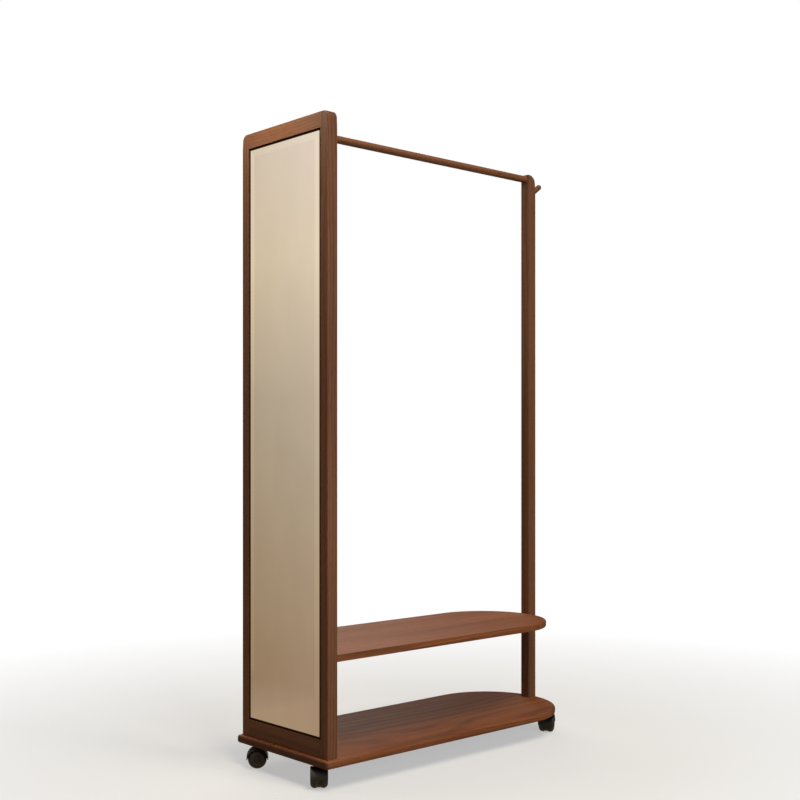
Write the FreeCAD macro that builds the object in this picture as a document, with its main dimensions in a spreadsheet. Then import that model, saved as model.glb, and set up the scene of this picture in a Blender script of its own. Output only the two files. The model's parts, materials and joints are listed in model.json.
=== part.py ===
import FreeCAD, Part
import os
import re
import Sketcher
from FreeCAD import Placement, Rotation, Vector

# A hall stand on casters: a full-height mirror at one end, a post at the other, a hanging
# rail between their tops, a shelf and a base board. X runs from the mirror to the post,
# Y from the front to the back and Z up from the floor. All sizes are in millimetres and
# all angles in degrees.
sizes = {
    # mirror frame
    "frame_height": 1619,
    "frame_depth": 366,
    "frame_thickness": 31,
    "stile_width": 29,
    "top_rail_height": 41,
    "bottom_rail_height": 47,
    "frame_corner": 18,
    "frame_edge": 2,
    # glass and foam on the back panel's raised field, with an open gap round the glass
    "glass_setback": 0.7,
    "glass_thickness": 4,
    "glass_gap": 4,
    "bevel_width": 20,
    "bevel_depth": 1,
    "foam_thickness": 2,
    "ledge": 13,
    "panel_margin": 14,
    "panel_play": 0.5,
    # post, rail and peg
    "post_distance": 930,
    "post_side": 31,
    "post_crown": 26,
    "post_edge": 3,
    "rail_diameter": 21,
    "rail_drop": 13.5,
    "rail_socket": 12,
    "peg_diameter": 17,
    "peg_length": 48,
    "peg_tenon": 22,
    "peg_tilt": 36,
    "peg_drop": 53,
    # boards
    "shelf_height": 241,
    "shelf_thickness": 18,
    "shelf_setback": 2,
    "shelf_edge": 4,
    "shelf_housing": 5,
    "base_thickness": 20,
    "base_overhang": 13,
    "base_end_margin": 7,
    "base_corner": 12,
    "base_edge": 6,
    # fasteners
    "bore_fit": 0.1,
    "end_play": 0.5,
    "overrun": 1,
    "dowel_diameter": 8,
    "dowel_length": 30,
    "dowel_chamfer": 1,
    "frame_dowel_inset": 9,
    "rail_screw_diameter": 6,
    "rail_screw_length": 46,
    "panel_screw_diameter": 3.5,
    "panel_screw_length": 25,
    "panel_screw_head": 7,
    "panel_screw_head_height": 2.5,
    "panel_screw_pitch_inset": 30,
    "panel_end_screw_spacing": 160,
    "board_screw_diameter": 6.5,
    "board_screw_head": 10,
    "board_screw_head_height": 5,
    "board_screw_bite": 30,
    "stile_screw_inset": 8,
    "bottom_rail_screw_spacing": 150,
    "post_bolt_diameter": 8,
    "post_bolt_head": 13,
    "post_bolt_head_height": 8,
    "post_bolt_bite": 30,
    "insert_diameter": 12,
    "post_insert_length": 20,
    "shelf_screw_bite": 36,
    "cap_diameter": 12,
    "cap_thickness": 3,
    "hex_recess_depth_share": 0.6,
    "hex_recess_width_share": 0.3,
    "cam_diameter": 15,
    "cam_length": 12.5,
    "cam_distance": 34,
    "cam_spacing": 190,
    "cam_bolt_diameter": 6,
    "cam_thread_length": 11,
    "shelf_dowel_spacing": 280,
    "shelf_dowel_bite": 10,
    # casters
    "caster_height": 59.5,
    "caster_left_inset": 21,
    "caster_left_side_inset": 73.5,
    "caster_right_inset": 57,
    "caster_right_side_inset": 82.5,
    "front_left_turn": 232,
    "back_left_turn": 144,
    "front_right_turn": 213,
    "back_right_turn": 75,
    "trail": 13,
    "wheel_diameter": 50,
    "wheel_width": 17,
    "wheel_gap": 11,
    "wheel_shoulder": 11.5,
    "wheel_edge": 1.5,
    "wheel_rim": 12,
    "wheel_dish": 2,
    "wheel_hub": 12,
    "web_clearance": 0.5,
    "axle_diameter": 6,
    "axle_length": 38,
    "running_fit": 0.08,
    "hood_clearance": 1.5,
    "hood_wall": 2.5,
    "neck_diameter": 20,
    "core_diameter": 44,
    "pivot_diameter": 8,
    "pivot_length": 29,
    "flange_width": 16,
    "flange_thickness": 3,
    "swivel_gap": 0.4,
    "stem_thread_length": 12,
    "caster_insert_length": 13,
}

# Places worked out from the sizes. The stand's own frame has its origin on the base
# board's top, in the plane of the mirror frame's face, half way through its depth.
places = {
    "peg_radius": "peg_diameter / 2",
    "peg_reach": "(peg_length - peg_radius) * cos(peg_tilt) + peg_radius",
    "left_reach": "max(base_overhang; front_left_reach; back_left_reach)",
    "mirror_x": "(left_reach - post_distance - post_side - peg_reach) / 2",
    "base_top": "caster_height + base_thickness",
    "post_outside": "post_distance + post_side",
    "inner_half": "frame_depth / 2 - stile_width",
    "sight_low": "bottom_rail_height",
    "sight_high": "frame_height - top_rail_height",
    "foam_face": "glass_setback + glass_thickness",
    "field_face": "foam_face + foam_thickness",
    "panel_thickness": "frame_thickness - ledge",
    "glass_half": "inner_half - glass_gap",
    "glass_low": "sight_low + glass_gap",
    "glass_high": "sight_high - glass_gap",
    "panel_half": "inner_half + panel_margin - panel_play",
    "panel_low": "sight_low - panel_margin + panel_play",
    "panel_high": "sight_high + panel_margin - panel_play",
    "screw_line": "panel_margin / 2",
    "rail_height": "frame_height - rail_drop",
    "rail_radius": "rail_diameter / 2",
    "peg_height": "frame_height - peg_drop",
    "shelf_half": "frame_depth / 2 - shelf_setback",
    "shelf_bow_x": "post_distance + shelf_housing - shelf_half",
    "shelf_middle": "shelf_height + shelf_thickness / 2",
    "base_half": "frame_depth / 2 + base_overhang",
    "base_bow_x": "post_outside + base_end_margin - base_half",
    "caster_right_x": "post_outside - caster_right_inset",
    "caster_left_half": "base_half - caster_left_side_inset",
    "caster_right_half": "base_half - caster_right_side_inset",
    "low_dowel_height": "(bottom_rail_height - panel_margin) / 2",
    "high_dowel_height": "frame_height - (top_rail_height - panel_margin) / 2",
    "post_middle": "post_distance + post_side / 2",
    "shelf_screw_face": "post_outside - cap_thickness",
    "shelf_screw_length": "post_side - cap_thickness + shelf_screw_bite",
    "board_screw_length": "base_thickness + board_screw_bite",
    "post_bolt_length": "base_thickness + post_bolt_bite",
    "cam_x": "frame_thickness + cam_distance",
    "wheel_radius": "wheel_diameter / 2",
    "hood_inside": "wheel_radius + hood_clearance",
    "hood_outside": "hood_inside + hood_wall",
    "hood_width": "2 * wheel_width + wheel_gap",
    "hood_top": "caster_height - flange_thickness - swivel_gap",
    "web_width": "wheel_gap - 2 * web_clearance",
    "pivot_low": "caster_height - flange_thickness - pivot_length",
}
for corner in ("front_left", "back_left"):
    turn = f"{corner}_turn"
    length_part = f"hood_outside * abs(cos({turn})) - trail * cos({turn})"
    width_part = f"hood_width / 2 * abs(sin({turn}))"
    places[f"{corner}_reach"] = f"{length_part} + {width_part} - caster_left_inset"

shown_name = "Sizes"
same_spot = 0.001

doc = FreeCAD.newDocument("HallStand")
sheet = doc.addObject("Spreadsheet::Sheet", shown_name)
for row, (name, size) in enumerate(sizes.items(), 1):
    sheet.set(f"A{row}", name)
    sheet.set(f"B{row}", str(size))
    sheet.setAlias(f"B{row}", name)
doc.recompute()

nodes = []
cuts = []


def spell(words):
    # Turns words such as "post_side / 2" into an expression on the sheet's cells.
    def swap(match):
        word = match.group()
        if word in places:
            return "(" + spell(places[word]) + ")"
        return f"{shown_name}.{word}" if word in sizes else word

    return re.sub(r"[a-z_]\w*", swap, words)


def number(words):
    return float(sheet.evalExpression(spell(words)))


def bind(thing, **words):
    for name, text in words.items():
        thing.setExpression(name, spell(text))


def seat(thing, spot, turn=None):
    # Puts a body or a feature at a spot given in words, turned by a fixed rotation.
    if turn is not None:
        thing.Placement = Placement(Vector(), turn)
    for axis, text in zip("xyz", spot):
        if text != "0":
            thing.setExpression(f"Placement.Base.{axis}", spell(text))


along = {
    "x": Rotation(Vector(0, 1, 0), 90),
    "-x": Rotation(Vector(0, 1, 0), -90),
    "y": Rotation(Vector(1, 0, 0), -90),
    "-y": Rotation(Vector(1, 0, 0), 90),
    "z": Rotation(),
}


def start_body(label, spot=("mirror_x", "0", "base_top"), turn=None):
    body = doc.addObject("PartDesign::Body", label)
    body.Label = label
    seat(body, spot, turn)
    return body


def keep(thing):
    nodes.append(thing)
    return thing


def primitive(body, shape, cut, spot, turn, **words):
    kind = "Subtractive" if cut else "Additive"
    feature = body.newObject(f"PartDesign::{kind}{shape}", f"{shape}{len(body.Group)}")
    bind(feature, **words)
    seat(feature, spot, turn)
    if cut:
        cuts.append(feature)
    return feature


def block(body, size, corner, cut=False):
    length, width, height = size
    return primitive(body, "Box", cut, corner, None, Length=length, Width=width, Height=height)


def rod(body, radius, height, spot, way="z", cut=False):
    return primitive(body, "Cylinder", cut, spot, along[way], Radius=radius, Height=height)


def prism(body, radius, height, spot, way="z", cut=False):
    feature = primitive(body, "Prism", cut, spot, along[way], Circumradius=radius, Height=height)
    feature.Polygon = 6
    return feature


def start_sketch(body, role, offset=("0", "0", "0")):
    sketch = body.newObject("Sketcher::SketchObject", "Outline")
    plane = next(p for p in body.Origin.OriginFeatures if p.Role == role)
    sketch.AttachmentSupport = (plane, [""])
    sketch.MapMode = "FlatFace"
    for axis, text in zip("xyz", offset):
        if text != "0":
            sketch.setExpression(f"AttachmentOffset.Base.{axis}", spell(text))
    return sketch


def hold(sketch, kind, *parts):
    # Adds a constraint whose last part is a size in words.
    *where, text = parts
    index = sketch.addConstraint(Sketcher.Constraint(kind, *where, number(text)))
    sketch.setExpression(f"Constraints[{index}]", spell(text))


def hold_point(sketch, line, end, across, up):
    # Ties a point to the origin, on an axis where its distance is nothing.
    for kind, text, axis in (("DistanceX", across, -2), ("DistanceY", up, -1)):
        if text == "0":
            sketch.addConstraint(Sketcher.Constraint("PointOnObject", line, end, axis))
        else:
            hold(sketch, kind, -1, 1, line, end, text)


def polygon(sketch, points):
    spots = [Vector(number(across), number(up), 0) for across, up in points]
    for start, end in zip(spots, spots[1:] + spots[:1]):
        sketch.addGeometry(Part.LineSegment(start, end))
    for line, (across, up) in enumerate(points):
        before = (line - 1) % len(points)
        sketch.addConstraint(Sketcher.Constraint("Coincident", before, 2, line, 1))
        hold_point(sketch, line, 1, across, up)


def bow(sketch, left, centre, half):
    # A board's outline: square at the left end and half round at the right end.
    x_left, x_centre, reach = number(left), number(centre), number(half)
    front, back = Vector(x_centre, -reach, 0), Vector(x_centre, reach, 0)
    sketch.addGeometry(Part.LineSegment(Vector(x_left, -reach, 0), front))
    sketch.addGeometry(Part.Arc(front, Vector(x_centre + reach, 0, 0), back))
    sketch.addGeometry(Part.LineSegment(back, Vector(x_left, reach, 0)))
    sketch.addGeometry(Part.LineSegment(Vector(x_left, reach, 0), Vector(x_left, -reach, 0)))
    for rule in (
        ("Tangent", 0, 2, 1, 1),
        ("Tangent", 1, 2, 2, 1),
        ("Coincident", 2, 2, 3, 1),
        ("Coincident", 3, 2, 0, 1),
        ("Horizontal", 0),
        ("Horizontal", 2),
        ("Vertical", 3),
        ("PointOnObject", 1, 3, -1),
    ):
        sketch.addConstraint(Sketcher.Constraint(*rule))
    hold(sketch, "Radius", 1, half)
    hold(sketch, "DistanceX", -1, 1, 1, 3, centre)
    hold(sketch, "DistanceX", -1, 1, 0, 1, left)


def drill(body, role, lift, centres, radius, depth, away=False):
    # Bores a row of like holes from a plane; "away" goes along the plane's own normal.
    sketch = start_sketch(body, role, ("0", "0", lift))
    for circle, (across, up) in enumerate(centres):
        middle = Vector(number(across), number(up), 0)
        sketch.addGeometry(Part.Circle(middle, Vector(0, 0, 1), number(radius)))
        hold_point(sketch, circle, 3, across, up)
        hold(sketch, "Radius", circle, radius)
    pocket = body.newObject("PartDesign::Pocket", "Holes")
    pocket.Profile = sketch
    pocket.Reversed = away
    bind(pocket, Length=depth)
    cuts.append(pocket)
    return pocket


def soften(body, radius, picked, kind="Fillet"):
    # Rounds or chamfers those edges of the newest feature that the test picks.
    doc.recompute()
    base = body.Tip
    edges = [f"Edge{i}" for i, edge in enumerate(base.Shape.Edges, 1) if picked(edge)]
    feature = body.newObject(f"PartDesign::{kind}", "Eased")
    feature.Base = (base, edges)
    bind(feature, **{"Radius" if kind == "Fillet" else "Size": radius})
    return feature


def lies_at(edge, axis, words):
    low, high = getattr(edge.BoundBox, axis + "Min"), getattr(edge.BoundBox, axis + "Max")
    spot = number(words)
    return abs(low - spot) < same_spot and abs(high - spot) < same_spot


def group(label, master, spots, way):
    # One node that holds a copy of the master at each spot.
    links = []
    for spot in spots:
        link = doc.addObject("App::Link", "Copy")
        link.LinkedObject = master
        seat(link, spot, along[way])
        links.append(link)
    whole = doc.addObject("Part::Compound", label)
    whole.Label = label
    whole.Links = links
    seat(whole, ("mirror_x", "0", "base_top"))
    return keep(whole)


def fastener(label, radius, length, head_radius, head_height, **where):
    # A screw along +Z: its head stands on the origin, with a hexagonal recess.
    body = start_body(label, **where)
    rod(body, head_radius, head_height, ("0", "0", "0"))
    rod(body, radius, f"{length} - {head_height}", ("0", "0", head_height))
    prism(
        body,
        f"2 * ({head_radius}) * hex_recess_width_share",
        f"{head_height} * hex_recess_depth_share",
        ("0", "0", "0"),
        cut=True,
    )
    return body


def plain_dowel(label, radius, length, **where):
    body = start_body(label, **where)
    rod(body, radius, length, ("0", "0", "0"))
    soften(body, "dowel_chamfer", lambda edge: edge.BoundBox.ZLength < same_spot, "Chamfer")
    return body


ground = {"spot": ("0", "0", "0")}
sides = {"front": -1, "back": 1}


def inward(side, near, far):
    # The lower Y of a slab that lies between two depths measured in from a side face.
    if side < 0:
        return f"{near} - frame_depth / 2"
    return f"frame_depth / 2 - ({far})"


# Frame: two stiles run the full height and two rails stand between them.
frame_dowel_xs = ("frame_dowel_inset", "frame_thickness - frame_dowel_inset")
frame_dowel_heights = ("low_dowel_height", "high_dowel_height")
half_dowel = "dowel_length / 2 + end_play"
dowel_bore = "dowel_diameter / 2 + bore_fit"
screw_bore = "board_screw_diameter / 2 + bore_fit"


def make_stile(name, side):
    body = start_body(f"{name}_stile")
    outer, inner = f"{side} * frame_depth / 2", f"{side} * inner_half"
    stile_size = ("frame_thickness", "stile_width", "frame_height")
    block(body, stile_size, ("0", inward(side, "0", "stile_width"), "0"))

    def top_corner(edge):
        return lies_at(edge, "Y", outer) and lies_at(edge, "Z", "frame_height")

    def outline(edge):
        on_face = lies_at(edge, "X", "0") or lies_at(edge, "X", "frame_thickness")
        return on_face and not lies_at(edge, "Y", inner) and not lies_at(edge, "Z", "0")

    soften(body, "frame_corner", top_corner)
    soften(body, "frame_edge", outline)
    rebate_height = "sight_high - sight_low + 2 * panel_margin"
    rebate_size = ("panel_thickness + overrun", "panel_margin + overrun", rebate_height)
    rebate_side = inward(side, "stile_width - panel_margin", "stile_width + overrun")
    block(body, rebate_size, ("ledge", rebate_side, "sight_low - panel_margin"), cut=True)
    centres = [(x, z) for x in frame_dowel_xs for z in frame_dowel_heights]
    drill(body, "XZ_Plane", f"-({inner})", centres, dowel_bore, half_dowel, away=side < 0)
    base_spot = ("frame_thickness / 2", f"{side} * (frame_depth / 2 - stile_screw_inset)")
    drill(body, "XY_Plane", "0", [base_spot], screw_bore, "board_screw_bite + end_play", away=True)
    keep(body)


def make_cross_rail(name, low, height, rebate_low):
    body = start_body(name)
    block(body, ("frame_thickness", "2 * inner_half", height), ("0", "-inner_half", low))
    rebate_size = ("panel_thickness + overrun", "2 * inner_half + 2 * overrun", "panel_margin + overrun")
    block(body, rebate_size, ("ledge", "-inner_half - overrun", rebate_low), cut=True)
    return body


def finish_cross_rail(body, dowel_height):
    centres = [(x, dowel_height) for x in frame_dowel_xs]
    drill(body, "XZ_Plane", "-inner_half", centres, dowel_bore, half_dowel, away=True)
    drill(body, "XZ_Plane", "inner_half", centres, dowel_bore, half_dowel)
    keep(body)


for name, side in sides.items():
    make_stile(name, side)

top_rail = make_cross_rail("top_rail", "sight_high", "top_rail_height", "sight_high - overrun")


def rail_top_edge(edge):
    on_face = lies_at(edge, "X", "0") or lies_at(edge, "X", "frame_thickness")
    return on_face and lies_at(edge, "Z", "frame_height")


soften(top_rail, "frame_edge", rail_top_edge)
rod(
    top_rail,
    "rail_radius + bore_fit",
    "rail_socket + overrun",
    ("frame_thickness - rail_socket", "0", "rail_height"),
    "x",
    cut=True,
)
finish_cross_rail(top_rail, "high_dowel_height")

bottom_rail = make_cross_rail("bottom_rail", "0", "bottom_rail_height", "sight_low - panel_margin")
bottom_rail_spots = [("frame_thickness / 2", f"{side} * bottom_rail_screw_spacing / 2") for side in (-1, 1)]
drill(
    bottom_rail,
    "XY_Plane",
    "0",
    bottom_rail_spots,
    screw_bore,
    "board_screw_bite + end_play",
    away=True,
)
finish_cross_rail(bottom_rail, "low_dowel_height")

dowel = plain_dowel("plain_dowel", "dowel_diameter / 2", "dowel_length", **ground)
dowel_spots = [
    (x, f"{side} * inner_half - dowel_length / 2", z)
    for side in (-1, 1)
    for x in frame_dowel_xs
    for z in frame_dowel_heights
]
group("frame_dowels", dowel, dowel_spots, "y")

# Glass: a flat sheet with a polished bevel all round its front.
glass = start_body("mirror_glass")
glass_size = ("glass_thickness - bevel_depth", "2 * glass_half", "glass_high - glass_low")
block(glass, glass_size, ("glass_setback + bevel_depth", "-glass_half", "glass_low"))
primitive(
    glass,
    "Wedge",
    False,
    ("glass_setback + bevel_depth", "0", "0"),
    Rotation(Vector(0, 0, 1), 90),
    Ymax="bevel_depth",
    Ymin="0",
    Xmin="-glass_half",
    Xmax="glass_half",
    Zmin="glass_low",
    Zmax="glass_high",
    X2min="bevel_width - glass_half",
    X2max="glass_half - bevel_width",
    Z2min="glass_low + bevel_width",
    Z2max="glass_high - bevel_width",
)
keep(glass)

foam = start_body("mirror_foam_sheet")
foam_size = ("foam_thickness", "2 * glass_half", "glass_high - glass_low")
block(foam, foam_size, ("foam_face", "-glass_half", "glass_low"))
keep(foam)

# Back panel: flush with the frame behind, its raised field fills the opening and carries
# the glass, and its back carries the shelf's end.
cam_ys = [f"{side} * cam_spacing / 2" for side in (-1, 1)]
shelf_dowel_ys = [f"{side} * shelf_dowel_spacing / 2" for side in (-1, 1)]
screws_per_side = 6
steps = screws_per_side - 1
low_screw, high_screw = "panel_low + panel_screw_pitch_inset", "panel_high - panel_screw_pitch_inset"
panel_screw_spots = [
    (
        f"{side} * (inner_half + screw_line)",
        f"{low_screw} + ({high_screw} - ({low_screw})) * {step} / {steps}",
    )
    for side in (-1, 1)
    for step in range(screws_per_side)
]
panel_screw_spots += [
    (f"{side} * panel_end_screw_spacing / 2", z)
    for side in (-1, 1)
    for z in ("sight_low - screw_line", "sight_high + screw_line")
]

panel = start_body("back_panel")
panel_size = ("panel_thickness", "2 * panel_half", "panel_high - panel_low")
block(panel, panel_size, ("ledge", "-panel_half", "panel_low"))
field_size = (
    "ledge - field_face",
    "2 * (inner_half - panel_play)",
    "sight_high - sight_low - 2 * panel_play",
)
block(panel, field_size, ("field_face", "panel_play - inner_half", "sight_low + panel_play"))
drill(
    panel,
    "YZ_Plane",
    "frame_thickness",
    panel_screw_spots,
    "panel_screw_diameter / 2 + bore_fit",
    "panel_thickness",
)
drill(
    panel,
    "YZ_Plane",
    "frame_thickness",
    panel_screw_spots,
    "panel_screw_head / 2 + bore_fit",
    "panel_screw_head_height",
)
drill(
    panel,
    "YZ_Plane",
    "frame_thickness",
    [(y, "shelf_middle") for y in cam_ys],
    "cam_bolt_diameter / 2 + bore_fit",
    "cam_thread_length + end_play",
)
drill(
    panel,
    "YZ_Plane",
    "frame_thickness",
    [(y, "shelf_middle") for y in shelf_dowel_ys],
    dowel_bore,
    "shelf_dowel_bite + end_play",
)
keep(panel)

# The panel's screws bite into the frame's ledge, so the ledge has their pilot holes.
pilot_depth = "panel_screw_length - panel_thickness + end_play"
for body in list(nodes):
    if body.Label.endswith("_stile"):
        side = sides[body.Label.split("_")[0]]
        spots = [spot for spot in panel_screw_spots if spot[0].startswith(f"{side} * (inner_half")]
    elif body.Label == "top_rail":
        spots = [spot for spot in panel_screw_spots if spot[1].startswith("sight_high")]
    elif body.Label == "bottom_rail":
        spots = [spot for spot in panel_screw_spots if spot[1].startswith("sight_low")]
    else:
        continue
    drill(body, "YZ_Plane", "ledge", spots, "panel_screw_diameter / 2 + bore_fit", pilot_depth)

panel_screw = fastener(
    "panel_screw",
    "panel_screw_diameter / 2",
    "panel_screw_length",
    "panel_screw_head / 2",
    "panel_screw_head_height",
    **ground,
)
group("back_panel_screws", panel_screw, [("frame_thickness", y, z) for y, z in panel_screw_spots], "-x")

# Post: square, with its outer top corner rounded over.
post = start_body("post")
block(post, ("post_side", "post_side", "frame_height"), ("post_distance", "-post_side / 2", "0"))
soften(
    post,
    "post_crown",
    lambda edge: lies_at(edge, "X", "post_outside") and lies_at(edge, "Z", "frame_height"),
)


def post_profile(edge):
    on_side = lies_at(edge, "Y", "post_side / 2") or lies_at(edge, "Y", "-post_side / 2")
    return on_side and not lies_at(edge, "Z", "0")


soften(post, "post_edge", post_profile)
rod(
    post,
    "rail_screw_diameter / 2 + bore_fit",
    "rail_screw_length / 2 + end_play + overrun",
    ("post_distance - overrun", "0", "rail_height"),
    "x",
    cut=True,
)
rod(
    post,
    screw_bore,
    "post_side + 2 * overrun",
    ("post_distance - overrun", "0", "shelf_middle"),
    "x",
    cut=True,
)
rod(
    post,
    "cap_diameter / 2 + bore_fit",
    "board_screw_head_height + cap_thickness + overrun",
    ("shelf_screw_face - board_screw_head_height", "0", "shelf_middle"),
    "x",
    cut=True,
)
rod(
    post,
    "insert_diameter / 2 + bore_fit",
    "post_insert_length + overrun",
    ("post_middle", "0", "-overrun"),
    cut=True,
)
rod(
    post,
    "post_bolt_diameter / 2 + bore_fit",
    "post_bolt_bite + end_play + overrun",
    ("post_middle", "0", "-overrun"),
    cut=True,
)
peg_bore = rod(
    post,
    "peg_radius + bore_fit",
    "2 * peg_tenon + end_play",
    (
        "post_outside - (peg_tenon + end_play) * cos(peg_tilt)",
        "0",
        "peg_height - (peg_tenon + end_play) * sin(peg_tilt)",
    ),
    "x",
    cut=True,
)
peg_bore.setExpression("Placement.Rotation.Angle", spell("90 - peg_tilt"))
keep(post)

# Peg: a round pin with a domed end, glued into the post at an upward slant.
peg = start_body(
    "coat_peg",
    ("mirror_x + post_outside", "0", "base_top + peg_height"),
    along["x"],
)
peg.setExpression("Placement.Rotation.Angle", spell("90 - peg_tilt"))
rod(peg, "peg_radius", "peg_tenon + peg_length - peg_radius", ("0", "0", "-peg_tenon"))
primitive(peg, "Sphere", False, ("0", "0", "peg_length - peg_radius"), None, Radius="peg_radius")
keep(peg)

# Hanging rail: its left end stands in the top rail's socket, a double-ended screw holds
# its right end to the post.
rail = start_body("hanging_rail")
rod(
    rail,
    "rail_radius",
    "post_distance - frame_thickness + rail_socket - end_play",
    ("frame_thickness - rail_socket + end_play", "0", "rail_height"),
    "x",
)
rod(
    rail,
    "rail_screw_diameter / 2 + bore_fit",
    "rail_screw_length / 2 + end_play + overrun",
    ("post_distance - rail_screw_length / 2 - end_play", "0", "rail_height"),
    "x",
    cut=True,
)
keep(rail)

rail_screw = plain_dowel(
    "rail_screw",
    "rail_screw_diameter / 2",
    "rail_screw_length",
    spot=("mirror_x + post_distance - rail_screw_length / 2", "0", "base_top + rail_height"),
    turn=along["x"],
)
keep(rail_screw)

# Shelf: square against the back panel, half round at the post, which it is let into.
shelf = start_body("shelf_board")
shelf_outline = start_sketch(shelf, "XY_Plane", ("0", "0", "shelf_height"))
bow(shelf_outline, "frame_thickness", "shelf_bow_x", "shelf_half")
shelf_pad = shelf.newObject("PartDesign::Pad", "Board")
shelf_pad.Profile = shelf_outline
bind(shelf_pad, Length="shelf_thickness")
soften(
    shelf,
    "shelf_edge",
    lambda edge: edge.BoundBox.ZLength < same_spot and not lies_at(edge, "X", "frame_thickness"),
)
block(
    shelf,
    ("shelf_housing + overrun", "post_side + 2 * bore_fit", "shelf_thickness + 2 * overrun"),
    ("post_distance", "-post_side / 2 - bore_fit", "shelf_height - overrun"),
    cut=True,
)
cam_bore = "cam_diameter / 2 + bore_fit"
drill(shelf, "XY_Plane", "shelf_height", [("cam_x", y) for y in cam_ys], cam_bore, "cam_length", away=True)
drill(
    shelf,
    "YZ_Plane",
    "frame_thickness",
    [(y, "shelf_middle") for y in cam_ys],
    "cam_bolt_diameter / 2 + bore_fit",
    "cam_distance",
    away=True,
)
drill(
    shelf,
    "YZ_Plane",
    "frame_thickness",
    [(y, "shelf_middle") for y in shelf_dowel_ys],
    dowel_bore,
    "dowel_length - shelf_dowel_bite + end_play",
    away=True,
)
drill(
    shelf,
    "YZ_Plane",
    "post_distance",
    [("0", "shelf_middle")],
    screw_bore,
    "shelf_screw_bite + end_play",
)
keep(shelf)

group(
    "shelf_dowels",
    dowel,
    [("frame_thickness - shelf_dowel_bite", y, "shelf_middle") for y in shelf_dowel_ys],
    "x",
)
cam_bolt = plain_dowel("cam_bolt", "cam_bolt_diameter / 2", "cam_thread_length + cam_distance", **ground)
group(
    "shelf_cam_bolts",
    cam_bolt,
    [("frame_thickness - cam_thread_length", y, "shelf_middle") for y in cam_ys],
    "x",
)
cam = start_body("cam", **ground)
rod(cam, "cam_diameter / 2", "cam_length", ("0", "0", "0"))
slot_size = ("cam_diameter / 2 + overrun + end_play", "cam_bolt_diameter + 2 * bore_fit", "cam_length")
slot_corner = (
    "-cam_diameter / 2 - overrun",
    "-cam_bolt_diameter / 2 - bore_fit",
    "(shelf_thickness - cam_bolt_diameter) / 2 - bore_fit",
)
block(cam, slot_size, slot_corner, cut=True)
recess_radius, recess_depth = "cam_diameter * hex_recess_width_share", "(cam_length - cam_bolt_diameter) / 4"
prism(cam, recess_radius, recess_depth, ("0", "0", "0"), cut=True)
group("shelf_cams", cam, [("cam_x", y, "shelf_height") for y in cam_ys], "z")

shelf_screw = fastener(
    "shelf_post_screw",
    "board_screw_diameter / 2",
    "shelf_screw_length",
    "board_screw_head / 2",
    "board_screw_head_height",
    spot=("mirror_x + shelf_screw_face", "0", "base_top + shelf_middle"),
    turn=along["-x"],
)
keep(shelf_screw)

cap = start_body(
    "post_screw_cap",
    ("mirror_x + shelf_screw_face", "0", "base_top + shelf_middle"),
    along["x"],
)
rod(cap, "cap_diameter / 2", "cap_thickness", ("0", "0", "0"))
soften(cap, "cap_thickness / 4", lambda edge: lies_at(edge, "Z", "cap_thickness"))
keep(cap)

# Base board: wider than the frame all round, half round beyond the post.
base = start_body("base_board")
base_outline = start_sketch(base, "XY_Plane", ("0", "0", "-base_thickness"))
bow(base_outline, "-base_overhang", "base_bow_x", "base_half")
base_pad = base.newObject("PartDesign::Pad", "Board")
base_pad.Profile = base_outline
bind(base_pad, Length="base_thickness")


def base_corner_edge(edge):
    return lies_at(edge, "X", "-base_overhang") and edge.BoundBox.ZLength > same_spot


soften(base, "base_corner", base_corner_edge)
soften(base, "base_edge", lambda edge: edge.BoundBox.ZLength < same_spot)

frame_screw_spots = bottom_rail_spots + [
    ("frame_thickness / 2", f"{side} * (frame_depth / 2 - stile_screw_inset)") for side in (-1, 1)
]
under = "-base_thickness"
drill(base, "XY_Plane", under, frame_screw_spots, screw_bore, "base_thickness", away=True)
drill(
    base,
    "XY_Plane",
    under,
    frame_screw_spots,
    "board_screw_head / 2 + bore_fit",
    "board_screw_head_height",
    away=True,
)
post_spot = [("post_middle", "0")]
drill(base, "XY_Plane", under, post_spot, "post_bolt_diameter / 2 + bore_fit", "base_thickness", away=True)
drill(
    base,
    "XY_Plane",
    under,
    post_spot,
    "post_bolt_head / 2 + bore_fit",
    "post_bolt_head_height",
    away=True,
)
caster_spots = {
    "front_left": ("caster_left_inset", "-caster_left_half"),
    "back_left": ("caster_left_inset", "caster_left_half"),
    "front_right": ("caster_right_x", "-caster_right_half"),
    "back_right": ("caster_right_x", "caster_right_half"),
}
drill(
    base,
    "XY_Plane",
    under,
    list(caster_spots.values()),
    "insert_diameter / 2 + bore_fit",
    "caster_insert_length + end_play",
    away=True,
)
keep(base)

board_screw = fastener(
    "board_screw",
    "board_screw_diameter / 2",
    "board_screw_length",
    "board_screw_head / 2",
    "board_screw_head_height",
    **ground,
)
group("frame_base_screws", board_screw, [(x, y, under) for x, y in frame_screw_spots], "z")

post_bolt = fastener(
    "post_base_bolt",
    "post_bolt_diameter / 2",
    "post_bolt_length",
    "post_bolt_head / 2",
    "post_bolt_head_height",
    spot=("mirror_x + post_middle", "0", "caster_height"),
)
keep(post_bolt)


def insert_nut(label, length, **where):
    body = start_body(label, **where)
    rod(body, "insert_diameter / 2", length, ("0", "0", "0"))
    rod(
        body,
        "post_bolt_diameter / 2 + bore_fit",
        f"{length} + 2 * overrun",
        ("0", "0", "-overrun"),
        cut=True,
    )
    return body


keep(insert_nut("post_insert_nut", "post_insert_length", spot=("mirror_x + post_middle", "0", "base_top")))
caster_nut = insert_nut("caster_nut", "caster_insert_length", **ground)
group("caster_insert_nuts", caster_nut, [(x, y, under) for x, y in caster_spots.values()], "z")


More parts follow.
